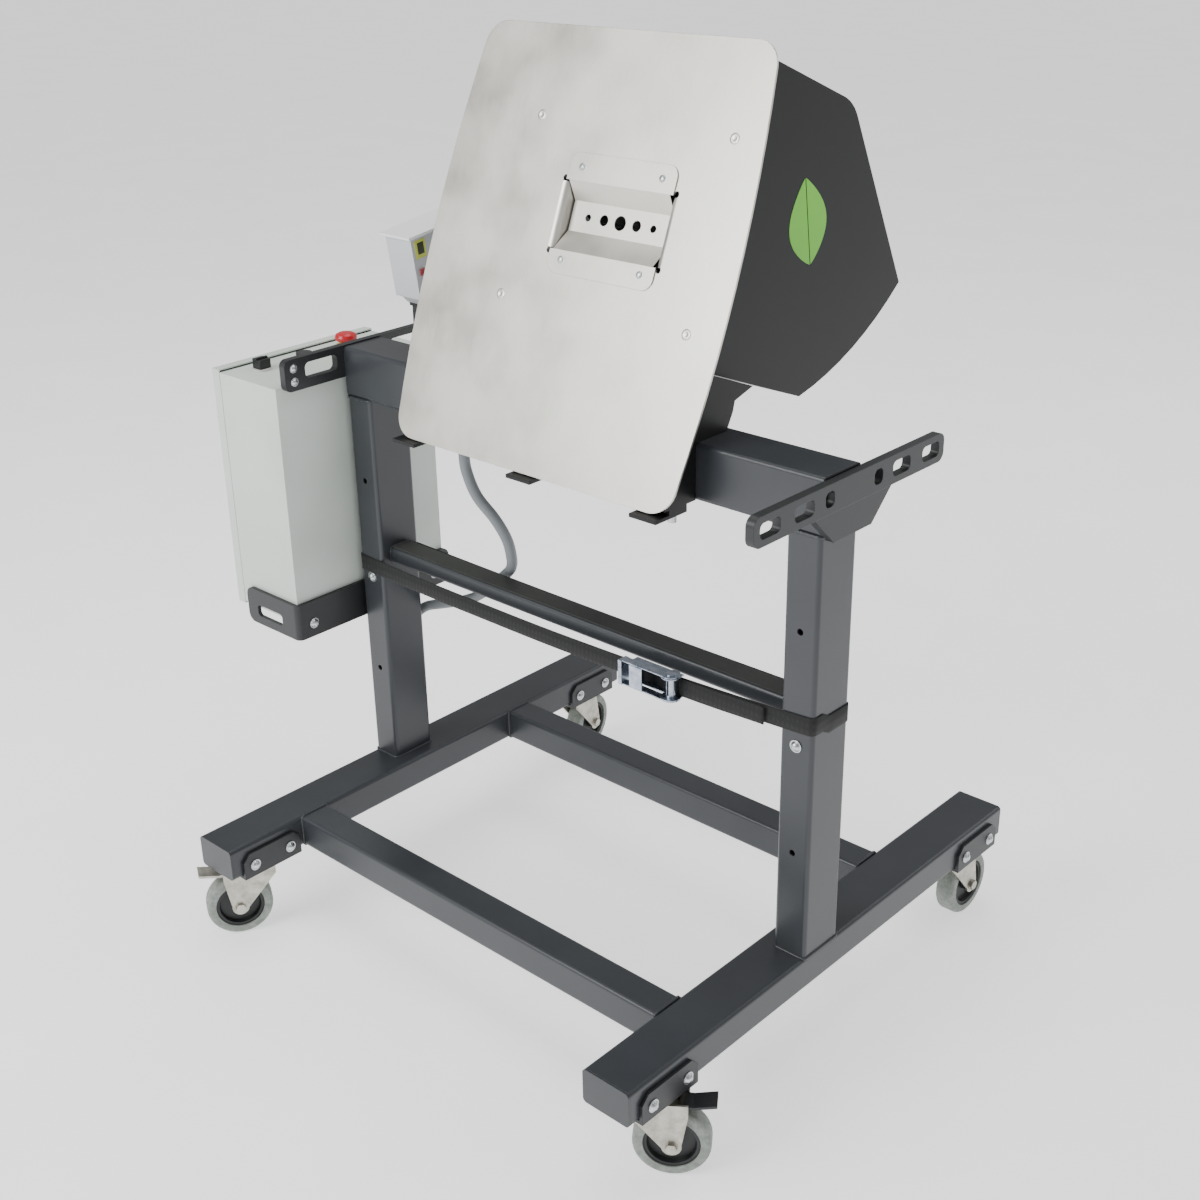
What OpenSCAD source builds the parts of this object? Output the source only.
// Stem stripping machine on a wheeled stand: stems are pushed into graded holes in a recessed die,
// and two rubber rollers behind it pull them through. Millimetres, +Z up, +Y away from the operator.
// Frame coordinates: x from the left rail's outer face, y from the rails' front ends, z from the floor.

/* [Base frame] */
// Length of the two base rails
rail_len = 857; // [720:1:1000]
// Width of a base rail
rail_w = 76.2; // [66:0.1:90]
// Height of a base rail
rail_h = 50.8; // [43:0.1:61]
// Overall width across the two rails
base_w = 872; // [760:1:1040]
// Wall of every tube in the frame
tube_wall = 3.2; // [2:0.1:4.5]
// Outer corner radius of every tube
tube_r = 6; // [4:0.5:8]
// Width of the two cross tubes of the base
base_bar_w = 50.8; // [43:0.1:61]
// Centre of the front cross tube, from the rail's front end
front_bar_y = 157; // [150:1:175]
// Centre of the rear cross tube, from the rail's front end
rear_bar_y = 606; // [560:1:640]

/* [Uprights and beam] */
// Width of an upright, across the machine
upright_w = 50.8; // [44:0.1:60]
// Depth of an upright
upright_d = 76.2; // [66:0.1:90]
// Centre of the uprights, from the rail's front end
upright_y = 387.5; // [380:0.5:400]
// Height of the top beam's upper face
beam_top = 867; // [800:1:960]
// Side of the square top beam
beam_size = 76.2; // [66:0.1:82]
// Depth of the mid crossbar
crossbar_d = 38.1; // [30:0.1:46]
// Height of the mid crossbar
crossbar_h = 25.4; // [20:0.1:32]
// Centre height of the mid crossbar
crossbar_z = 538; // [530:1:560]
// Radius of the adjustment holes in the uprights
upright_hole_r = 4.5; // [3.5:0.1:5.5]
// Height of the middle holes, which carry the frame bolts
upright_bolt_z = 500; // [480:1:500]
// Spacing of the three holes in an upright
upright_hole_pitch = 160; // [130:1:180]

/* [Side plates] */
// Thickness of the end plate with the hand slots
end_plate_t = 12; // [10:0.5:14]
// Height of the end plate's long bar
end_bar_h = 38.1; // [32:0.1:46]
// Length of the end plate
end_plate_len = 391; // [340:1:440]
// Length of a long hand slot
hand_slot_len = 38; // [32:1:42]
// Height of a hand slot
hand_slot_h = 20; // [16:0.5:23]

/* [Casters] */
// Wheel diameter
wheel_d = 101.6; // [86:0.1:108]
// Width of the tread
wheel_w = 30; // [25:1:36]
// Height of the rails' underside above the floor
rail_z = 131; // [128:1:150]
// Trail from the kingpin to the axle
caster_trail = 35; // [30:1:40]
// Distance of the front and rear kingpins from the rail's ends
caster_inset = 69; // [60:1:80]
// Length of the saddle that holds a caster to its rail
saddle_len = 106; // [100:1:120]

/* [Strap] */
// Width of the webbing
webbing_w = 25.4; // [22:0.1:27]
// Thickness of the webbing
webbing_t = 2; // [1.5:0.1:2.5]
// Centre height of the strap
strap_z = 525; // [525:1:530]
// Centre of the ratchet across the machine
ratchet_x = 628; // [560:1:700]

/* [Control cabinet] */
// Depth of the cabinet, across the machine, with its door
cabinet_d = 155; // [140:1:180]
// Width of the cabinet, along the machine
cabinet_w = 300; // [260:1:340]
// Height of the cabinet
cabinet_h = 378; // [320:1:400]
// Underside of the cabinet above the floor
cabinet_z = 449; // [440:1:470]
// Front face of the cabinet, from the rail's front end
cabinet_y = 228; // [215:1:240]
// Gap between the uprights and the cabinet's back
cabinet_gap = 12; // [12:0.5:16]
// Sheet thickness of the cabinet
cabinet_t = 2; // [1.5:0.1:2.5]

/* [Head] */
// Lean of the face plate from the vertical
tilt = 22; // [16:1:27]
// Height of the face plate along its slope
face_h = 582; // [560:1:640]
// Half the face plate's width at its lower edge
face_half_low = 251; // [246:1:280]
// Extra half width at the belly of the curved sides
face_belly = 20; // [10:1:26]
// Half the face plate's width at its top edge
face_half_top = 243; // [240:1:270]
// Thickness of the face plate
face_t = 3; // [2:0.1:4]
// Corner radius of the face plate
face_r = 36; // [24:1:48]
// Lower edge of the face plate, from the rail's front end
face_y = 284; // [280:1:290]
// Lower edge of the face plate above the floor
face_z = 788; // [785:1:792]
// Offset of the die and cowl to the right of the machine's middle
die_x = 50; // [30:1:60]
// Middle of the die along the face plate's slope
die_s = 343; // [335:1:350]
// Depth of the die's channel
die_depth = 20; // [16:0.5:24]
// Sheet thickness of the die
die_t = 2; // [1.5:0.1:2.5]
// Diameter of the largest stem hole
hole_big = 19; // [15:0.1:20]
// Diameter of the middle stem holes
hole_mid = 14.3; // [11:0.1:16]
// Diameter of the smallest stem holes
hole_small = 9.5; // [8:0.1:11.5]
// Distance between stem holes
hole_pitch = 28; // [24:0.5:30]
// Width of the cowl
cowl_w = 348; // [330:1:370]
// Sheet thickness of the cowl
cowl_t = 2; // [1.5:0.1:2.5]

/* [Rollers] */
// Pitch diameter of the two roller gears, and so the distance between the roller axes
gear_pd = 50; // [44:1:56]
// Teeth on each roller gear
gear_teeth = 20; // [16:2:24]
// Gap between the two rubber rollers
roller_gap = 0.6; // [0.4:0.1:1]
// Length of a rubber roller
roller_len = 150; // [130:1:160]
// Radius of the roller shafts
shaft_r = 10; // [8:0.5:12]

/* [Hidden] */
$fn = 48;

run_fit = 0.06;     // radial clearance of a turning shaft
bolt_fit = 0.3;     // radial clearance of a bolt in its hole
gap = 0.3;          // gap between faces of pieces that move past each other
over = 1;           // how far a cutter runs past what it cuts

mid_x = base_w / 2;
rail_top = rail_z + rail_h;
upright_front = upright_y - upright_d / 2;
upright_back = upright_y + upright_d / 2;
beam_bottom = beam_top - beam_size;
beam_mid = beam_top - beam_size / 2;

// Casters: kingpin places, and the way each one trails, as degrees from +x towards +y
saddle_t = 5;
caster_plate_t = 4;
fork_top = rail_z - saddle_t - caster_plate_t - 5;
kingpin_r = 6;
axle_r = 5;
pedal_reach = 92;
pedal_half_w = 14;
tread_r = 6;
CASTERS = ["fl", "fr", "rl", "rr"];
function at_front(c) = c == "fl" || c == "fr";
function at_left(c) = c == "fl" || c == "rl";
function rail_mid_x(c) = at_left(c) ? rail_w / 2 : base_w - rail_w / 2;
function kingpin_y(c) = at_front(c) ? caster_inset : rail_len - caster_inset;
function trail_angle(c) = c == "fl" ? -120 : c == "fr" ? 36 : c == "rl" ? 100 : 90;
// Half the reach of a wheel with rounded tread edges, along a direction at angle a to its trail
function wheel_reach(a) = abs((wheel_d / 2 - tread_r) * cos(a)) + abs((wheel_w / 2 - tread_r) * sin(a)) + tread_r;

// The row's origin: the middle of the whole machine's box, on the floor
latch_stand = 8;
x_low = -cabinet_gap - cabinet_d - latch_stand;
x_high = rail_mid_x("fr") + pedal_reach * cos(trail_angle("fr")) + pedal_half_w * sin(trail_angle("fr"));
y_low = kingpin_y("fl") + pedal_reach * sin(trail_angle("fl")) - pedal_half_w * abs(cos(trail_angle("fl")));
y_high = max([for (c = ["rl", "rr"])
    kingpin_y(c) + caster_trail * sin(trail_angle(c)) + wheel_reach(trail_angle(c) - 90)]);
module placed() translate([-(x_low + x_high) / 2, -(y_low + y_high) / 2, 0]) children();

// ---------------------------------------------------------------- shared shapes

module round_rect(w, h, r) {
    square([w - 2 * r, h], center = true);
    square([w, h - 2 * r], center = true);
    for (x = [-1, 1], y = [-1, 1]) translate([x * (w / 2 - r), y * (h / 2 - r)]) circle(r);
}

module tube(w, h, len) linear_extrude(len) difference() {
    round_rect(w, h, tube_r);
    round_rect(w - 2 * tube_wall, h - 2 * tube_wall, tube_r - tube_wall);
}

module along_x(x, y, z) translate([x, y, z]) rotate([90, 0, 90]) children();
module along_y(x, y, z) translate([x, y, z]) rotate([-90, 0, 0]) children();

// A domed bolt head of radius r standing on z = 0, with its washer
module dome_head(r, washer_r, washer_t) {
    cylinder(r = washer_r, h = washer_t);
    translate([0, 0, washer_t]) intersection() {
        cylinder(r = r, h = r * 0.7);
        translate([0, 0, -r * 0.35]) sphere(r * 1.06);
    }
}

// A through bolt along +z from 0 to len: a domed head with its washer at each end
module through_bolt(len, r) {
    cylinder(r = r, h = len);
    translate([0, 0, len]) dome_head(r * 1.75, r * 2.2, 1.5);
    mirror([0, 0, 1]) dome_head(r * 1.75, r * 2.2, 1.5);
}

// ---------------------------------------------------------------- base frame

saddle_bolt_r = 4;
saddle_bolt_z = 14;
saddle_bolt_gap = 66;
saddle_wing = 36;

module rail(x) difference() {
    along_y(x + rail_w / 2, 0, rail_z + rail_h / 2) tube(rail_w, rail_h, rail_len);
    for (c = CASTERS, s = [-1, 1])
        along_x(x - over, kingpin_y(c) + s * saddle_bolt_gap / 2, rail_z + saddle_bolt_z)
            cylinder(r = saddle_bolt_r + bolt_fit, h = rail_w + 2 * over);
}

frame_colour = "#4b4f54";
module left_rail() color(frame_colour) rail(0);
module right_rail() color(frame_colour) rail(base_w - rail_w);

module base_bar(y)
    along_x(rail_w, y, rail_top - base_bar_w / 2) tube(base_bar_w, base_bar_w, base_w - 2 * rail_w);
module front_base_bar() color(frame_colour) base_bar(front_bar_y);
module rear_base_bar() color(frame_colour) base_bar(rear_bar_y);

cap_t = 3;
module rail_end_caps() color(frame_colour) for (x = [0, base_w - rail_w], back = [0, 1])
    translate([x + rail_w / 2, back * rail_len, rail_z + rail_h / 2])
        mirror([0, back, 0]) rotate([90, 0, 0]) {
            linear_extrude(cap_t) round_rect(rail_w, rail_h, tube_r);
            translate([0, 0, -12]) linear_extrude(12)
                round_rect(rail_w - 2 * tube_wall - 0.4, rail_h - 2 * tube_wall - 0.4, 2.5);
        }

module upright(x) difference() {
    translate([x + upright_w / 2, upright_y, rail_top]) tube(upright_w, upright_d, beam_bottom - rail_top);
    for (i = [-1 : 1])
        along_y(x + upright_w / 2, upright_front - over, upright_bolt_z + i * upright_hole_pitch)
            cylinder(r = upright_hole_r, h = upright_d + 2 * over);
}
module left_upright() color(frame_colour) upright(0);
module right_upright() color(frame_colour) upright(base_w - upright_w);

module top_beam() color(frame_colour) difference() {
    along_x(0, upright_y, beam_mid) tube(beam_size, beam_size, base_w);
    for (x = cradle_bolt_x) translate([x, cradle_bolt_y, beam_top - tube_wall - over])
        cylinder(r = cradle_bolt_r + bolt_fit, h = tube_wall + 2 * over);
}
module mid_crossbar() color(frame_colour)
    along_x(upright_w, upright_y, crossbar_z) tube(crossbar_d, crossbar_h, base_w - 2 * upright_w);

// ---------------------------------------------------------------- end plate and cabinet brackets

plate_mid_y = upright_y + 10;
end_bar_z = beam_top - 4 - end_bar_h / 2;
tab_low = beam_bottom - 5;
tab_half = 39;
gusset = 40;
slot_offsets = [50, 100, 165];
slot_lens = [18, hand_slot_len, hand_slot_len];

module end_plate_outline() {
    round_rect(end_plate_len, end_bar_h, 12);
    polygon([[-tab_half - gusset, -end_bar_h / 2 + over], [tab_half + gusset, -end_bar_h / 2 + over],
        [tab_half + gusset, -end_bar_h / 2], [tab_half, tab_low - end_bar_z],
        [-tab_half, tab_low - end_bar_z], [-tab_half - gusset, -end_bar_h / 2]]);
}
module end_plate() color("#2e3033") along_x(base_w, plate_mid_y, end_bar_z) linear_extrude(end_plate_t)
    difference() {
        end_plate_outline();
        for (side = [-1, 1], i = [0 : 2])
            translate([side * slot_offsets[i], 0]) round_rect(slot_lens[i], hand_slot_h, 7);
    }

// The upper bracket carries the cabinet on the left end of the beam
bracket_t = cabinet_gap;
bracket_h = 48;
bracket_len = cabinet_w - 2;
bracket_z = beam_top - 22;
bracket_mid_y = upright_y;
module cabinet_bracket() color("#2e3033")
    along_x(-bracket_t, bracket_mid_y, bracket_z) linear_extrude(bracket_t) difference() {
        round_rect(bracket_len, bracket_h, 10);
        for (side = [-1, 1]) translate([side * 82, 2]) round_rect(60, 24, 8);
        for (side = [-1, 1], z = [-10, 10]) translate([side * 133, z]) circle(bracket_bolt_r + bolt_fit);
    }
bracket_bolt_r = 3;

// The lower bracket wraps round the cabinet's lower front corner and makes a handle there
handle_t = 6;
handle_h = 59;
handle_z = 423;
handle_front = cabinet_y - handle_t;
handle_reach = 134;
handle_back = cabinet_y + cabinet_w + 10;
handle_bend = 10;
handle_x = -cabinet_gap;
module cabinet_handle() color("#2e3033") {
    difference() {
        union() {
            // leg in front of the cabinet
            translate([-handle_reach, handle_front + handle_t, handle_z + handle_h / 2]) rotate([90, 0, 0])
                linear_extrude(handle_t) translate([(handle_reach + handle_x + handle_t - handle_bend) / 2, 0])
                    union() {
                        round_rect(handle_reach + handle_x + handle_t - handle_bend, handle_h, 14);
                        translate([0, -handle_h / 2])
                            square([(handle_reach + handle_x + handle_t - handle_bend) / 2, handle_h]);
                    }
            // bend
            translate([handle_x + handle_t - handle_bend, handle_front + handle_bend, handle_z])
                difference() {
                    intersection() {
                        cylinder(r = handle_bend, h = handle_h);
                        translate([0, -handle_bend - over, 0]) cube([2 * handle_bend, handle_bend + over, handle_h]);
                    }
                    translate([-handle_bend, handle_t - handle_bend, -over])
                        cube([2 * handle_bend - handle_t, 2 * handle_bend, handle_h + 2 * over]);
                }
            // leg along the cabinet's back
            along_x(handle_x, (handle_front + handle_bend + handle_back) / 2, handle_z + handle_h / 2)
                linear_extrude(handle_t) union() {
                    round_rect(handle_back - handle_front - handle_bend, handle_h, 14);
                    translate([-(handle_back - handle_front - handle_bend) / 2, -handle_h / 2])
                        square([(handle_back - handle_front - handle_bend) / 2, handle_h]);
                }
        }
        translate([-78, handle_front + handle_t + over, handle_z + 24]) rotate([90, 0, 0])
            linear_extrude(handle_t + 2 * over) round_rect(62, 19, 6);
        for (y = handle_bolt_y) along_x(handle_x - over, y, handle_z + 22)
            cylinder(r = bracket_bolt_r + bolt_fit, h = handle_t + 2 * over);
    }
    // spacer block between the bracket and the upright
    translate([handle_x + handle_t, upright_front + 8, handle_z])
        cube([-handle_x - handle_t, upright_d - 16, handle_h]);
}
handle_bolt_y = [cabinet_y + 24, cabinet_y + cabinet_w - 24];

// ---------------------------------------------------------------- casters

module caster_saddles() color("#2e3033") for (c = CASTERS) translate([rail_mid_x(c), kingpin_y(c), rail_z]) {
    translate([-rail_w / 2 - saddle_t, -saddle_len / 2, -saddle_t]) cube([rail_w + 2 * saddle_t, saddle_len, saddle_t]);
    for (s = [-1, 1]) translate([s * (rail_w + saddle_t) / 2, 0, 0]) difference() {
        translate([-saddle_t / 2, 0, 0]) rotate([90, 0, 90]) linear_extrude(saddle_t)
            polygon([[-saddle_len / 2, 0], [saddle_len / 2, 0], [saddle_len / 2, saddle_wing - 12],
                [saddle_len / 2 - 12, saddle_wing], [-saddle_len / 2 + 12, saddle_wing],
                [-saddle_len / 2, saddle_wing - 12]]);
        for (b = [-1, 1]) translate([-saddle_t / 2 - over, b * saddle_bolt_gap / 2, saddle_bolt_z])
            rotate([0, 90, 0]) cylinder(r = saddle_bolt_r + bolt_fit, h = saddle_t + 2 * over);
    }
}

module caster_plates() color("#b9b7ae") for (c = CASTERS) translate([rail_mid_x(c), kingpin_y(c), 0]) {
    translate([0, 0, rail_z - saddle_t - caster_plate_t]) linear_extrude(caster_plate_t)
        round_rect(66, saddle_len - 10, 6);
    translate([0, 0, fork_top + gap]) cylinder(r = 24, h = rail_z - saddle_t - caster_plate_t - fork_top - gap);
    translate([0, 0, fork_top - 9]) cylinder(r = kingpin_r, h = 10);
    translate([0, 0, fork_top - 9]) cylinder(r = 10, h = 5);
}

fork_t = 3;
axle_z = wheel_d / 2;
leg_gap = wheel_w / 2 + 2;
module at_caster(c) translate([rail_mid_x(c), kingpin_y(c), 0]) rotate([0, 0, trail_angle(c)]) children();

pedal_pivot = [50, fork_top - 11];
pedal_pin_r = 3;
module fork_leg_outline(braked) {
    polygon([[-24, fork_top], [braked ? pedal_pivot[0] + 6 : 34, fork_top],
        [braked ? pedal_pivot[0] + 6 : 40, fork_top - 18], [caster_trail + 13, axle_z + 4],
        [caster_trail - 13, axle_z - 2], [-24, fork_top - 14]]);
    translate([caster_trail, axle_z]) circle(13);
}
module fork(c) color("#b9b7ae") at_caster(c) {
    difference() {
        union() {
            for (s = [-1, 1]) translate([0, s * (leg_gap + fork_t / 2) + fork_t / 2, 0]) rotate([90, 0, 0])
                linear_extrude(fork_t) fork_leg_outline(at_front(c));
            translate([-24, -leg_gap - fork_t, fork_top - fork_t])
                cube([24 + 30, 2 * (leg_gap + fork_t), fork_t]);
        }
        translate([0, 0, fork_top - 2 * fork_t]) cylinder(r = kingpin_r + run_fit, h = 3 * fork_t);
    }
    // axle bolt with its head and nut
    translate([caster_trail, 0, axle_z]) rotate([90, 0, 0]) {
        translate([0, 0, -leg_gap - over]) cylinder(r = axle_r, h = 2 * (leg_gap + over));
        for (s = [0, 1]) mirror([0, 0, s]) translate([0, 0, leg_gap + fork_t]) cylinder(r = 8, h = 5, $fn = 6);
    }
    if (at_front(c)) translate([pedal_pivot[0], leg_gap + over, pedal_pivot[1]]) rotate([90, 0, 0])
        cylinder(r = pedal_pin_r, h = 2 * (leg_gap + over));
}
module fork_fl() fork("fl");
module fork_fr() fork("fr");
module fork_rl() fork("rl");
module fork_rr() fork("rr");

hub_r = 37;
module at_wheel(c) at_caster(c) translate([caster_trail, 0, axle_z]) rotate([90, 0, 0]) children();
module tyre(c) color("#8d938d") at_wheel(c) rotate_extrude($fn = 96) difference() {
    intersection() {
        translate([wheel_d / 4, 0]) union() {
            round_rect(wheel_d / 2, wheel_w, tread_r);
            translate([-wheel_d / 4, -wheel_w / 2]) square([wheel_d / 4, wheel_w]);
        }
        translate([0, -wheel_w / 2]) square([wheel_d / 2, wheel_w]);
    }
    translate([-over, -wheel_w / 2 - over]) square([hub_r + over, wheel_w + 2 * over]);
}
module tyre_fl() tyre("fl");
module tyre_fr() tyre("fr");
module tyre_rl() tyre("rl");
module tyre_rr() tyre("rr");

hub_w = wheel_w - 4;
boss_w = 2 * (leg_gap - gap);
module hub(c) color("#1d1f20") at_wheel(c) difference() {
    rotate_extrude($fn = 96) polygon([[0, -boss_w / 2], [11, -boss_w / 2], [12, -6], [30, -6],
        [32, -hub_w / 2], [hub_r, -hub_w / 2], [hub_r, hub_w / 2], [32, hub_w / 2], [30, 6], [12, 6],
        [11, boss_w / 2], [0, boss_w / 2]]);
    translate([0, 0, -wheel_w]) cylinder(r = axle_r + run_fit, h = 2 * wheel_w);
}
module hub_fl() hub("fl");
module hub_fr() hub("fr");
module hub_rl() hub("rl");
module hub_rr() hub("rr");

// The pedal turns on a pin across the fork and presses on the tread
module brake(c) color("#2b2d2e") at_caster(c) translate([pedal_pivot[0], 0, pedal_pivot[1]]) difference() {
    union() {
        rotate([90, 0, 0]) translate([0, 0, -leg_gap + 1]) cylinder(r = 6, h = 2 * (leg_gap - 1));
        rotate([90, 0, 0]) translate([0, 0, -pedal_half_w]) linear_extrude(2 * pedal_half_w)
            polygon([[0, 1], [12, 1], [pedal_reach - pedal_pivot[0], 6],
                [pedal_reach - pedal_pivot[0], 10], [12, 5], [0, 6]]);
    }
    rotate([90, 0, 0]) translate([0, 0, -wheel_w]) cylinder(r = pedal_pin_r + run_fit, h = 2 * wheel_w);
}
module brake_fl() brake("fl");
module brake_fr() brake("fr");

// ---------------------------------------------------------------- bolts of the frame

module frame_bolts() color("#c3c7c8") {
    // through the saddles and rails
    for (c = CASTERS, s = [-1, 1])
        along_x(rail_mid_x(c) - rail_w / 2 - saddle_t, kingpin_y(c) + s * saddle_bolt_gap / 2, rail_z + saddle_bolt_z)
            through_bolt(rail_w + 2 * saddle_t, saddle_bolt_r);
    // through the middle holes of the uprights
    for (x = [upright_w / 2, base_w - upright_w / 2])
        along_y(x, upright_front, upright_bolt_z) through_bolt(upright_d, saddle_bolt_r);
    // small bolts of the two cabinet brackets
    for (s = [-1, 1], z = [-10, 10]) along_x(0, bracket_mid_y + s * 133, bracket_z + z) {
        dome_head(bracket_bolt_r * 1.75, bracket_bolt_r * 2.2, 1);
        translate([0, 0, -bracket_t]) cylinder(r = bracket_bolt_r, h = bracket_t);
    }
    for (y = handle_bolt_y) along_x(handle_x + handle_t, y, handle_z + 22) {
        dome_head(bracket_bolt_r * 2.4, bracket_bolt_r * 2.8, 1);
        translate([0, 0, -handle_t]) cylinder(r = bracket_bolt_r, h = handle_t);
    }
}

// ---------------------------------------------------------------- ratchet strap

module strap_webbing() color("#161718") translate([0, 0, strap_z - webbing_w / 2]) linear_extrude(webbing_w) {
    translate([mid_x, upright_y]) difference() {
        round_rect(base_w + 2 * webbing_t, upright_d + 2 * webbing_t, tube_r + webbing_t);
        round_rect(base_w, upright_d, tube_r);
    }
    // loose tail folded back along the front run
    translate([ratchet_x + 30, ratchet_y - webbing_t]) square([110, webbing_t + over / 2]);
}

// The frame's two side plates lie across the webbing, above and below it
ratchet_len = 92;
ratchet_half = webbing_w / 2 + 2;
ratchet_plate = 1.5;
spindle_end = 4.8;     // how far the spindle runs past the webbing's side of each plate
ratchet_y = upright_front - webbing_t;
spindle_r = 7;
spindle_at = [ratchet_x + 24, ratchet_y - 13];
module ratchet_frame() color("#aab0b8") {
    for (s = [-1, 1]) translate([0, 0, strap_z + s * ratchet_half + (s < 0 ? -ratchet_plate : 0)])
        linear_extrude(ratchet_plate) difference() {
            union() {
                translate([ratchet_x - ratchet_len / 2, ratchet_y - 10]) square([ratchet_len - 10, 10]);
                translate(spindle_at) circle(14);
            }
            translate([ratchet_x - ratchet_len, ratchet_y]) square([2 * ratchet_len, 30]);
            translate(spindle_at) circle(spindle_r + run_fit);
        }
    translate([ratchet_x - ratchet_len / 2, ratchet_y - 8, strap_z - ratchet_half])
        cube([8, 6, 2 * ratchet_half]);
}
module ratchet_spindle() color("#c9ced4") translate([spindle_at[0], spindle_at[1], strap_z - ratchet_half - spindle_end])
    difference() {
        cylinder(r = spindle_r, h = 2 * (ratchet_half + spindle_end));
        translate([-1.5, -spindle_r - over, spindle_end + 3])
            cube([3, 2 * (spindle_r + over), 2 * ratchet_half - 6]);
    }

handle_plate_z = ratchet_half + ratchet_plate + gap;
module ratchet_handle() color("#9aa1ab") translate([spindle_at[0], spindle_at[1], strap_z]) {
    for (s = [-1, 1]) translate([0, 0, s * handle_plate_z + (s < 0 ? -ratchet_plate : 0)])
        linear_extrude(ratchet_plate) difference() {
            union() {
                circle(13);
                translate([-78, -12]) square([78, 13]);
            }
            circle(spindle_r + run_fit);
        }
    translate([-82, -14, -handle_plate_z - ratchet_plate])
        cube([6, 16, 2 * (handle_plate_z + ratchet_plate)]);
    translate([-62, -14, -handle_plate_z]) cube([22, 2, 2 * handle_plate_z]);
}

// ---------------------------------------------------------------- control cabinet

door_t = 18;
body_d = cabinet_d - door_t;
cabinet_back = -cabinet_gap;
body_front = cabinet_back - body_d;
door_gap = 1;
hinge_r = 4;
hinge_leaf = 2;
leaf_gap = 0.4;
hinge_at = [body_front - door_t / 2, cabinet_y + cabinet_w + hinge_r + 0.6];
knob_x = -112;
selector_y = cabinet_y + 52;
start_y = cabinet_y + 132;
estop_y = cabinet_y + 216;
control_hole_r = 11;
cabinet_top = cabinet_z + cabinet_h;
gland_at = [-108, 442];
gland_hole_r = 9;

module cabinet_body() color("#dfe4de") difference() {
    translate([body_front, cabinet_y, cabinet_z]) cube([body_d, cabinet_w, cabinet_h]);
    translate([body_front - over, cabinet_y + cabinet_t, cabinet_z + cabinet_t])
        cube([body_d - cabinet_t + over, cabinet_w - 2 * cabinet_t, cabinet_h - 2 * cabinet_t]);
    for (y = [selector_y, start_y, estop_y]) translate([knob_x, y, cabinet_top - cabinet_t - over])
        cylinder(r = control_hole_r, h = cabinet_t + 2 * over);
    translate([gland_at[0], gland_at[1], cabinet_z - over]) cylinder(r = gland_hole_r, h = cabinet_t + 2 * over);
}

module cabinet_door() color("#e6e9e4") difference() {
    translate([body_front - door_t, cabinet_y, cabinet_z - 4]) cube([door_t - door_gap, cabinet_w, cabinet_h + 8]);
    translate([body_front - door_t + cabinet_t, cabinet_y + cabinet_t, cabinet_z - 4 + cabinet_t])
        cube([door_t, cabinet_w - 2 * cabinet_t, cabinet_h + 8 - 2 * cabinet_t]);
    translate([body_front - door_t - over, latch_y, latch_z]) rotate([0, 90, 0])
        cylinder(r = latch_r + run_fit, h = door_t);
}

// Two hinges at the door's rear edge, each a barrel on the body's side
hinge_h = 36;
hinge_grip = 16;
module cabinet_hinges() color("#cdd1cc") for (z = [cabinet_z + 30, cabinet_top - 30 - hinge_h]) {
    translate([hinge_at[0], hinge_at[1], z]) cylinder(r = hinge_r, h = hinge_h);
    translate([hinge_at[0], cabinet_y + cabinet_w + leaf_gap, z])
        cube([door_t / 2 + hinge_grip, hinge_leaf, hinge_h]);
    translate([body_front, cabinet_y + cabinet_w, z]) cube([hinge_grip, hinge_leaf, hinge_h]);
}

latch_r = 8;
latch_y = cabinet_y + 26;
latch_z = cabinet_z + cabinet_h / 2;
module cabinet_latch() color("#3a3c3e") translate([body_front - door_t, latch_y, latch_z]) rotate([0, -90, 0]) {
    difference() {
        translate([0, 0, gap]) cylinder(r = 13, h = latch_stand - gap);
        translate([-1.5, -9, latch_stand - 3]) cube([3, 18, 3 + over]);
    }
    translate([0, 0, -9]) cylinder(r = latch_r, h = 9 + 2 * gap);
    translate([-5, -17, -9]) cube([10, 22, 3]);
}

// Mounting panel with a contactor, a supply and a terminal row, deep inside
panel_x = cabinet_back - cabinet_t - 12;
module cabinet_panel() color("#b8bcbb") {
    translate([panel_x, cabinet_y + 18, cabinet_z + 20]) cube([2.5, cabinet_w - 36, cabinet_h - 40]);
    for (y = [cabinet_y + 30, cabinet_y + cabinet_w - 42], z = [cabinet_z + 30, cabinet_top - 42])
        translate([panel_x + 2.5, y, z]) cube([cabinet_back - cabinet_t - panel_x - 2.5, 12, 12]);
    translate([panel_x - 55, cabinet_y + 50, cabinet_top - 150]) cube([55, 90, 100]);
    translate([panel_x - 60, cabinet_y + 170, cabinet_top - 140]) cube([60, 55, 85]);
    translate([panel_x - 34, cabinet_y + 50, cabinet_z + 60]) cube([34, 190, 45]);
}

module control_base(y, r, h) color("#d9dad6") translate([knob_x, y, cabinet_top]) difference() {
    union() {
        cylinder(r = r, h = h);
        translate([0, 0, -16]) cylinder(r = control_hole_r - bolt_fit, h = 17);
    }
    translate([0, 0, -17]) cylinder(r = stem_r + run_fit, h = h + 18);
}
stem_r = 5;
estop_h = 3;
selector_h = 3;
estop_travel = 5;
module estop_base() color("#d6c22e") control_base(estop_y, 16, estop_h);
module estop_button() color("#c4262c") translate([knob_x, estop_y, cabinet_top]) {
    translate([0, 0, -12]) cylinder(r = stem_r, h = estop_h + estop_travel + 14);
    translate([0, 0, estop_h + estop_travel + gap]) rotate_extrude()
        polygon([[0, 0], [13, 0], [17, 3], [17.5, 7], [16, 11], [11, 13.5], [0, 14.5]]);
}
module selector_base() control_base(selector_y, 15, selector_h);
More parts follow.
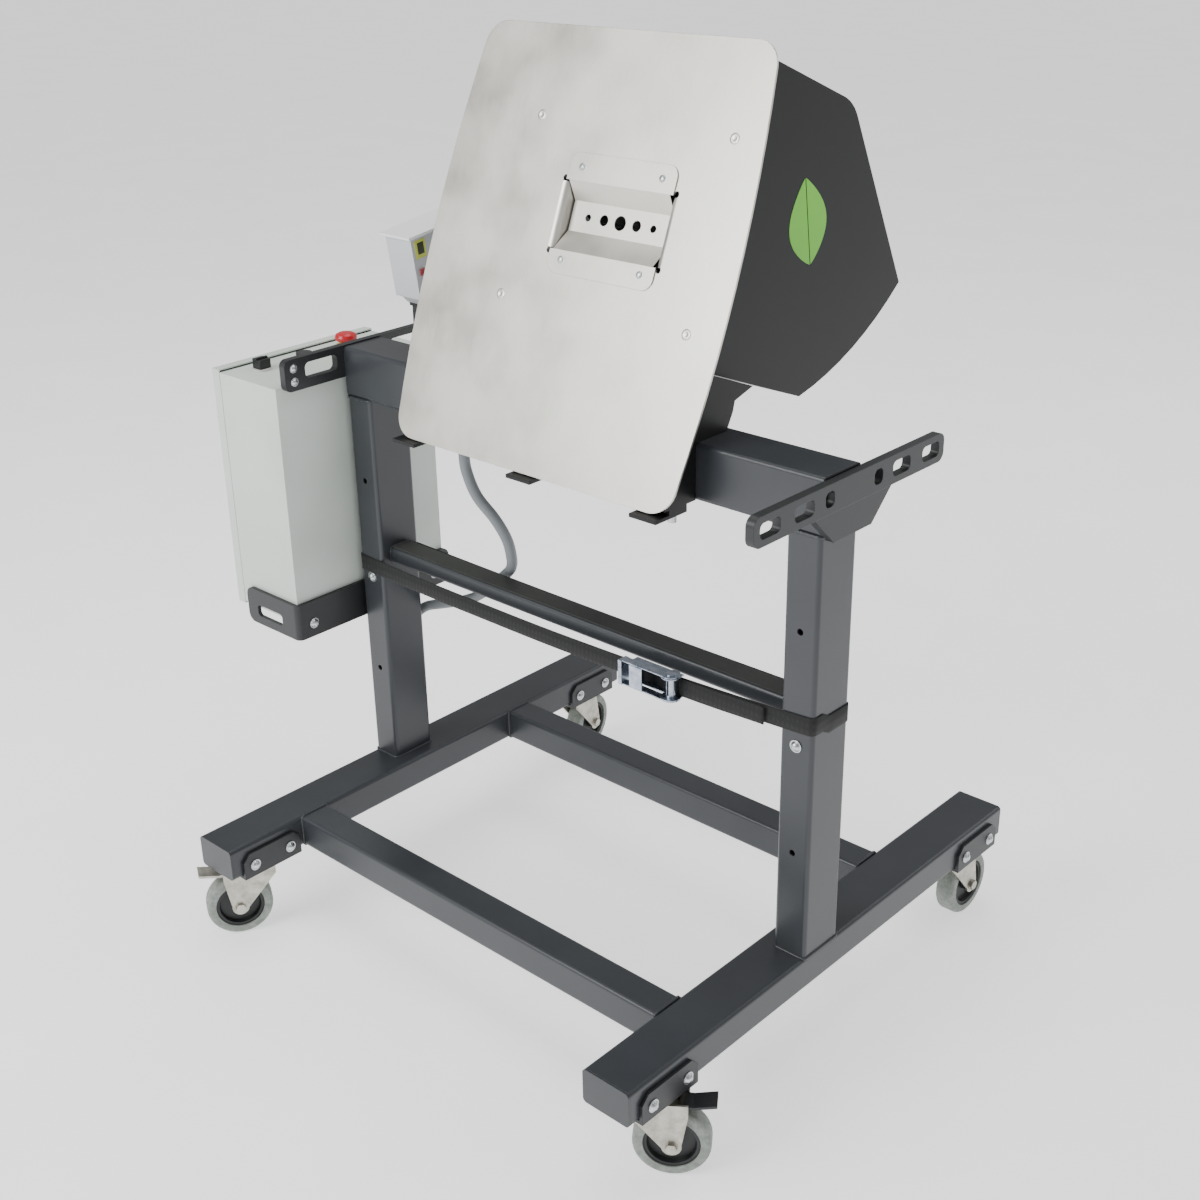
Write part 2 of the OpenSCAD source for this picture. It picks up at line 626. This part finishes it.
module selector_knob() color("#17191a") translate([knob_x, selector_y, cabinet_top]) {
    translate([0, 0, -12]) cylinder(r = stem_r, h = selector_h + 14);
    translate([0, 0, selector_h + gap]) linear_extrude(14) round_rect(21, 21, 3);
    translate([-2, -10.5, selector_h + gap + 14]) cube([4, 21, 2]);
}
start_travel = 3;
module start_button() color("#26292a") translate([knob_x, start_y, cabinet_top]) {
    translate([0, 0, -12]) cylinder(r = control_hole_r - run_fit, h = 12 + start_travel + 6);
    translate([0, 0, start_travel]) cylinder(r = 12.5, h = 6);
}

// ---------------------------------------------------------------- speed drive box

drive_x = 60;
drive_w = 54;
drive_len = 100;
drive_h = 92;
drive_y = 408;
drive_z = 943;
drive_lean = 8;
cover_h = 14;
module at_drive() translate([drive_x, drive_y, drive_z]) rotate([drive_lean, 0, 0]) children();
module drive_box() color("#c9ccce") at_drive() {
    cube([drive_w, drive_len, drive_h]);
    // terminal cover under the box, with a chamfered lower front
    translate([6, 0, 0]) rotate([90, 0, 90]) linear_extrude(drive_w - 12)
        polygon([[4, 0], [14, -cover_h], [drive_len - 10, -cover_h], [drive_len - 10, 0]]);
}
module drive_lid() color("#f1f2f0") at_drive()
    translate([-5, -6, drive_h]) cube([drive_w + 10, drive_len + 12, 4]);
post_w = 34;
post_t = 5;
module drive_bracket() color("#2e3033") {
    translate([drive_x + 14, upright_y + beam_size / 2, beam_bottom + 16])
        cube([post_w - 8, post_t, drive_z - cover_h - beam_bottom - 16]);
    at_drive() translate([10, 14, -cover_h - post_t]) cube([post_w, drive_len - 24, post_t]);
}

// ---------------------------------------------------------------- head: face plate and die

// Frame of the face plate: x across, y up the slope from the lower edge, z out towards the operator
module on_face() translate([mid_x, face_y, face_z]) rotate([90 - tilt, 0, 0]) children();

// Half width of the face plate at s along the slope: straight taper plus a belly
function face_half(s) = face_half_low + (face_half_top - face_half_low) * s / face_h
    + face_belly * 4 * (s / face_h) * (1 - s / face_h);
function face_lean(s) = atan((face_half_top - face_half_low + face_belly * 4 * (1 - 2 * s / face_h)) / face_h);
low_r_s = face_r * (1 - sin(face_lean(face_r)));
high_r_s = face_h - face_r * (1 + sin(face_lean(face_h - face_r)));
function low_corner_x() = face_half(low_r_s) - face_r * cos(face_lean(low_r_s));
function high_corner_x() = face_half(high_r_s) - face_r * cos(face_lean(high_r_s));
function right_side() = concat(
    [for (a = [-90 : 10 : -10]) [low_corner_x() + face_r * cos(a), face_r + face_r * sin(a)]],
    [for (i = [0 : 12]) let (s = low_r_s + (high_r_s - low_r_s) * i / 12) [face_half(s), s]],
    [for (a = [10 : 10 : 90]) [high_corner_x() + face_r * cos(a), face_h - face_r + face_r * sin(a)]]);
function mirrored(points) = [for (i = [len(points) - 1 : -1 : 0]) [-points[i][0], points[i][1]]];

window_w = 195;
window_h = 95;
window_s = die_s - 3;
lip_r = 10;
lip_depth = 14;
die_half_h = 79;
die_half_w = 91;
die_bend_low = -48;
die_bend_high = 42.5;
floor_low = -20;
floor_high = 20;
channel_half = window_w / 2 - lip_r - 2;
screw_x = 68;
screw_s = 60.5;
screw_r = 2.5;
stud_x = 162;
stud_s = [223, 463];

module window_cut() translate([die_x, window_s]) {
    square([window_w, window_h], center = true);
    for (x = [-1, 1], y = [-1, 1]) translate([x * (window_w / 2 - 3), y * window_h / 2]) circle(4);
}
module face_plate() color("#d3d2cc") on_face() {
    translate([0, 0, -face_t]) linear_extrude(face_t) difference() {
        polygon(concat(right_side(), mirrored(right_side())));
        window_cut();
        for (x = [-1, 1], y = [-1, 1]) translate([die_x + x * screw_x, die_s + y * screw_s])
            circle(screw_r + bolt_fit);
    }
    // the sheet is bent back at both ends of the window
    for (s = [-1, 1]) translate([die_x, window_s + window_h / 2 - 4, 0]) mirror([s > 0 ? 1 : 0, 0, 0])
        translate([-window_w / 2, 0, -lip_r]) rotate([90, 0, 0]) linear_extrude(window_h - 8) {
            intersection() {
                difference() {
                    circle(lip_r);
                    circle(lip_r - face_t);
                }
                square(lip_r);
            }
            translate([lip_r - face_t, -lip_depth]) square([face_t, lip_depth]);
        }
}

die_back = die_t - die_depth;
// Profile of the folded die: flange, sloping wall, floor with the holes, sloping wall, flange
function die_profile(z) = [[-die_half_h, z], [die_bend_low, z], [floor_low, z - die_depth],
    [floor_high, z - die_depth], [die_bend_high, z], [die_half_h, z]];
module die_plate() color("#cbc9c2") on_face() translate([die_x, die_s, 0]) difference() {
    union() {
        for (side = [[-die_half_h, die_bend_low], [die_bend_high, die_half_h]])
            intersection() {
                linear_extrude(die_t) round_rect(2 * die_half_w, 2 * die_half_h, 16);
                translate([-die_half_w, side[0], 0]) cube([2 * die_half_w, side[1] - side[0], die_t]);
            }
        rotate([90, 0, 90]) translate([0, 0, -channel_half]) linear_extrude(2 * channel_half)
            polygon([[die_bend_low - 2, die_t], [die_bend_low, die_t], [floor_low, die_back],
                [floor_high, die_back], [die_bend_high, die_t], [die_bend_high + 2, die_t],
                [die_bend_high + 2, 0], [die_bend_high + 0.4 - 1.5, 0], [floor_high + 1, die_back - die_t],
                [floor_low - 1, die_back - die_t], [die_bend_low + 1, 0], [die_bend_low - 2, 0]]);
    }
    for (i = [-2 : 2]) translate([i * hole_pitch, 0, die_back - die_t - over])
        cylinder(d = i == 0 ? hole_big : abs(i) == 1 ? hole_mid : hole_small, h = die_t + 2 * over);
    for (x = [-1, 1], y = [-1, 1]) translate([x * screw_x, y * screw_s, -over])
        cylinder(r = screw_r + bolt_fit, h = die_t + 2 * over);
}
module die_screws() color("#bfc0bc") on_face() translate([die_x, die_s, 0])
    for (x = [-1, 1], y = [-1, 1]) translate([x * screw_x, y * screw_s, 0]) {
        translate([0, 0, die_t]) rotate_extrude() polygon([[0, 0], [5, 0], [4.4, 1.2], [2.6, 2], [0, 2.2]]);
        translate([0, 0, -face_t - 6]) cylinder(r = screw_r, h = face_t + die_t + 7);
        translate([0, 0, -face_t - 5]) cylinder(r = 4.6, h = 5, $fn = 6);
    }

// ---------------------------------------------------------------- cradle that hangs the head on the beam

rib_t = 5;
cradle_half = 244;
cradle_bolt_x = [mid_x - cradle_half + 30, mid_x - 20, mid_x + cradle_half - 30];
cradle_bolt_y = upright_y + 10;
cradle_bolt_r = 5;
cradle_z = face_z + 4;
cowl_low = 184;
cradle_top_t = 5;
foot_w = 44;
foot_z = face_z - face_t * sin(tilt) - gap - rib_t;
clamp_len = 12;

// A point of the (y, z) plane at s up the face plate's slope and d behind its front
function behind(s, d) = [face_y + s * sin(tilt) + d * cos(tilt), face_z + s * cos(tilt) - d * sin(tilt)];
function rib_outline() = [behind(7, face_t), [upright_front - gap, cradle_z], [upright_front - gap, beam_top],
    [upright_back - 16, beam_top], [upright_back - 4, beam_top + 22], [upright_back, beam_top + 36],
    behind(cowl_low - 1, 118), behind(cowl_low - 1, face_t)];
rib_x = [-cradle_half, 3, cradle_half - rib_t];
module head_cradle() color("#17191a") difference() {
    union() {
        for (x = rib_x) translate([mid_x + x, 0, 0]) rotate([90, 0, 90])
            linear_extrude(rib_t) polygon(rib_outline());
        // floor of the cradle, and the plate that lies on the beam
        translate([mid_x - cradle_half, face_y + 14, cradle_z])
            cube([2 * cradle_half, upright_front - gap - face_y - 14, rib_t]);
        translate([mid_x - cradle_half, upright_front + 4, beam_top])
            cube([2 * cradle_half, beam_size - 24, cradle_top_t]);
        // three feet that show under the face plate
        for (x = [-cradle_half, -18, cradle_half - foot_w]) translate([mid_x + x, face_y - 12, foot_z]) {
            cube([foot_w, 60, rib_t]);
            translate([0, 26, 0]) cube([foot_w, 34, cradle_z - foot_z + rib_t / 2]);
        }
    }
    for (x = cradle_bolt_x) translate([x, cradle_bolt_y, beam_top - over])
        cylinder(r = cradle_bolt_r + bolt_fit, h = cradle_top_t + 2 * over);
    translate([conduit_start[0], conduit_start[1], cradle_z - 2 * rib_t])
        cylinder(r = gland_hole_r, h = 3 * rib_t);
}
module head_bolts() color("#8f9496") {
    for (x = cradle_bolt_x) translate([x, cradle_bolt_y, beam_top + cradle_top_t]) {
        dome_head(9, 11, 1.5);
        translate([0, 0, -cradle_top_t - tube_wall - 8]) cylinder(r = cradle_bolt_r, h = cradle_top_t + tube_wall + 8);
    }
    // clamp screw under the right foot
    translate([mid_x + cradle_half - 12, face_y + 34, foot_z - clamp_len]) cylinder(r = 6, h = clamp_len);
}

// ---------------------------------------------------------------- cowl

// Side outline of the cowl, as [s, d]: box behind the plate with a sloping back and a curved lower rear
cowl_top_s = 566;
cowl_top_d = 208;
cowl_back = [374, 426];
cowl_foot = [185, 255];
cowl_corner_r = 60;
cowl_curve_r = 500;
back_angle = atan2(cowl_back[1] - cowl_top_d, cowl_top_s - cowl_back[0]);   // slope of the back from the plate
corner_d = cowl_top_d - cowl_corner_r * tan((90 - back_angle) / 2);
function corner_points(inset) = [for (i = [0 : 6]) let (a = i * (90 - back_angle) / 6)
    [cowl_top_s - cowl_corner_r + (cowl_corner_r - inset) * cos(a), corner_d + (cowl_corner_r - inset) * sin(a)]];
chord = norm(cowl_back - cowl_foot);
curve_half = asin(chord / 2 / cowl_curve_r);
curve_mid = (cowl_back + cowl_foot) / 2;
chord_dir = (cowl_foot - cowl_back) / chord;
curve_centre = curve_mid + [-chord_dir[1], chord_dir[0]] * cowl_curve_r * cos(curve_half);
curve_from = atan2(cowl_back[1] - curve_centre[1], cowl_back[0] - curve_centre[0]);
function curve_points() = [for (i = [0 : 8]) let (a = curve_from + i * 2 * curve_half / 8)
    curve_centre + cowl_curve_r * [cos(a), sin(a)]];
back_dir = (cowl_back - [cowl_top_s, cowl_top_d]) / norm(cowl_back - [cowl_top_s, cowl_top_d]);
back_in = [-back_dir[1], back_dir[0]];
module cowl_side() polygon([for (p = concat([[cowl_low, face_t], [cowl_top_s, face_t]], corner_points(0),
    curve_points())) [p[1], p[0]]]);
module cowl_room() polygon([for (p = concat([[cowl_low + cowl_t, -face_t], [cowl_top_s - cowl_t, -face_t]],
    corner_points(cowl_t), [cowl_back + back_in * cowl_t + back_dir * 30, [320, 490], [cowl_low + cowl_t, 310]]))
    [p[1], p[0]]]);

// Maps an outline drawn as (d, s) on to the head, centred on the die, w wide
module across_head(w) on_face() translate([die_x + w / 2, 0, 0]) rotate([0, -90, 0]) linear_extrude(w) mirror([1, 0]) children();
module cowl() color("#26282a") difference() {
    across_head(cowl_w) cowl_side();
    across_head(cowl_w - 2 * cowl_t) cowl_room();
}

// ---------------------------------------------------------------- rollers, gears and drive

roller_z = die_back - die_t - 4 - gear_pd / 2;
roller_r = (gear_pd - roller_gap) / 2;
frame_plate_t = 8;
frame_plate_x = window_w / 2 + 2;
module on_roller(up) on_face() translate([die_x, die_s + up * gear_pd / 2, roller_z]) rotate([0, 90, 0]) children();

module roller(up, left_end) color("#3b3d3a") on_roller(up) {
    translate([0, 0, -roller_len / 2]) cylinder(r = roller_r, h = roller_len, $fn = 72);
    translate([0, 0, -left_end]) cylinder(r = shaft_r, h = left_end + gear_x + gear_w + 2);
}
module upper_roller() roller(1, frame_plate_x + frame_plate_t + 1);
module lower_roller() roller(-1, frame_plate_x + frame_plate_t + 2 + box_w / 2);

module gear_outline() {
    tooth = 360 / gear_teeth;
    module_mm = gear_pd / gear_teeth;
    root = gear_pd / 2 - 1.25 * module_mm;
    tip = gear_pd / 2 + 0.9 * module_mm;
    polygon([for (i = [0 : gear_teeth - 1], p = [[-0.30, root], [-0.20, gear_pd / 2], [-0.11, tip],
        [0.11, tip], [0.20, gear_pd / 2], [0.30, root]])
        p[1] * [cos((i + p[0]) * tooth), sin((i + p[0]) * tooth)]]);
}
gear_w = 12;
gear_x = frame_plate_x + frame_plate_t + 2;
module roller_gear(up, phase) color("#9b9fa1") on_roller(up) translate([0, 0, gear_x]) difference() {
    rotate([0, 0, phase]) linear_extrude(gear_w) gear_outline();
    translate([0, 0, -over]) cylinder(r = shaft_r, h = gear_w + 2 * over);
}
module upper_gear() roller_gear(1, 90);
module lower_gear() roller_gear(-1, 90 + 180 / gear_teeth + (gear_teeth % 4 == 0 ? 0 : 180 / gear_teeth));

module roller_frame() color("#5b5f62") for (s = [-1, 1]) difference() {
    on_face() translate([die_x + s * (frame_plate_x + frame_plate_t / 2) - frame_plate_t / 2,
        die_s - 78, roller_z - 40]) cube([frame_plate_t, 156, -roller_z + 40 - face_t]);
    for (up = [-1, 1]) on_roller(up) translate([0, 0, -roller_len])
        cylinder(r = shaft_r + run_fit, h = 2 * roller_len);
}

box_w = 46;
module gear_motor() color("#4f6272") difference() {
    on_face() translate([die_x - frame_plate_x - frame_plate_t - 2 - box_w, 0, 0]) {
        translate([0, die_s - gear_pd / 2 - 45, roller_z - 75]) cube([box_w, 90, 110]);
        translate([box_w / 2, die_s - gear_pd / 2, roller_z - 75 - 150]) cylinder(r = 38, h = 150);
        translate([-4, die_s - gear_pd / 2 + 30, roller_z - 75 - 100]) cube([50, 30, 60]);
        translate([0, die_s - gear_pd / 2 - 45, roller_z + 35])
            cube([12, 90, -roller_z - 35 - face_t]);
    }
    on_roller(-1) translate([0, 0, -2 * roller_len]) cylinder(r = shaft_r + run_fit, h = 2 * roller_len);
}

// ---------------------------------------------------------------- flexible conduit

conduit_r = 8;
conduit_start = [mid_x - 150, 320];
gland_len = 16;
// Route from the gland under the head, over and behind the crossbar, inside the strap's rear run,
// behind the left upright and up into the cabinet
conduit_route = [[conduit_start[0], conduit_start[1], cradle_z - gland_len],
    [conduit_start[0] + 3, conduit_start[1], 748], [305, 322.5, 713], [329, 333, 680.5],
    [337.5, 346.5, 647], [328, 363, 611.5], [300, 389, 582], [264, 415, 553], [218, 416, 512],
    [175, 427, 482], [128, 436.5, 457.5], [80, 441, 437], [40, 443, 420], [8, 443, 396],
    [-19, 442.5, 380], [-48, 442, 373], [-78, 442, 381], [-100, 442, 403],
    [gland_at[0], gland_at[1], cabinet_z - gland_len]];
// The conduit enters both glands along the vertical
lead = [0, 0, 30];
rings_between = 4;
function smooth(a, b, c, d, t) = 0.5 * ((2 * b) + (c - a) * t + (2 * a - 5 * b + 4 * c - d) * t * t
    + (3 * b - a - 3 * c + d) * t * t * t);
last = len(conduit_route) - 1;
function route_at(i, t) = smooth(i == 0 ? conduit_route[0] + lead : conduit_route[i - 1], conduit_route[i],
    conduit_route[i + 1], i + 2 > last ? conduit_route[last] + lead : conduit_route[i + 2], t);
conduit_path = concat([for (i = [0 : last - 1], k = [0 : rings_between - 1]) route_at(i, k / rings_between)],
    [conduit_route[last]]);
rings = len(conduit_path);
function unit(v) = v / norm(v);
function heading(i) = i == 0 || i == rings - 1 ? [0, 0, i == 0 ? -1 : 1]
    : unit(conduit_path[i + 1] - conduit_path[i - 1]);
// The side direction is carried from ring to ring so that the tube doesn't twist
function carried(i, side) = unit(side - heading(i) * (side * heading(i)));
function sides(i = 0, side = [0, 1, 0], made = []) = i == rings ? made
    : let (s = carried(i, side)) sides(i + 1, s, concat(made, [s]));
conduit_sides = sides();
ring_n = 10;
module conduit() color("#7d8183") polyhedron(
    points = [for (i = [0 : rings - 1], k = [0 : ring_n - 1])
        let (u = conduit_sides[i], v = cross(heading(i), u), a = 360 * k / ring_n)
            conduit_path[i] + conduit_r * (u * cos(a) + v * sin(a))],
    faces = concat([[for (k = [0 : ring_n - 1]) k]],
        [for (i = [0 : rings - 2], k = [0 : ring_n - 1]) let (n = (k + 1) % ring_n)
            [i * ring_n + k, (i + 1) * ring_n + k, (i + 1) * ring_n + n, i * ring_n + n]],
        [[for (k = [ring_n - 1 : -1 : 0]) (rings - 1) * ring_n + k]]));

module gland(at, z, up) translate([at[0], at[1], z]) mirror([0, 0, up ? 0 : 1]) {
    cylinder(r = 13, h = 7, $fn = 6);
    translate([0, 0, 7]) cylinder(r = 11, h = gland_len - 7);
    translate([0, 0, -12]) cylinder(r = gland_hole_r - bolt_fit, h = 12);
}
module conduit_glands() color("#33373a") {
    gland(conduit_start, cradle_z, false);
    gland(gland_at, cabinet_z, false);
}

// ---------------------------------------------------------------- the machine

placed() left_rail();
placed() right_rail();
placed() front_base_bar();
placed() rear_base_bar();
placed() left_upright();
placed() right_upright();
placed() top_beam();
placed() mid_crossbar();
placed() end_plate();
placed() cabinet_bracket();
placed() cabinet_handle();
placed() rail_end_caps();
placed() caster_saddles();
placed() frame_bolts();
placed() caster_plates();
placed() fork_fl();
placed() fork_fr();
placed() fork_rl();
placed() fork_rr();
placed() tyre_fl();
placed() tyre_fr();
placed() tyre_rl();
placed() tyre_rr();
placed() hub_fl();
placed() hub_fr();
placed() hub_rl();
placed() hub_rr();
placed() brake_fl();
placed() brake_fr();
placed() strap_webbing();
placed() ratchet_frame();
placed() ratchet_handle();
placed() ratchet_spindle();
placed() cabinet_body();
placed() cabinet_door();
placed() cabinet_hinges();
placed() cabinet_latch();
placed() cabinet_panel();
placed() estop_base();
placed() estop_button();
placed() selector_base();
placed() selector_knob();
placed() start_button();
placed() drive_box();
placed() drive_lid();
placed() drive_bracket();
placed() face_plate();
placed() die_plate();
placed() die_screws();
placed() head_cradle();
placed() head_bolts();
placed() cowl();
placed() upper_roller();
placed() lower_roller();
placed() upper_gear();
placed() lower_gear();
placed() roller_frame();
placed() gear_motor();
placed() conduit_glands();
placed() conduit();
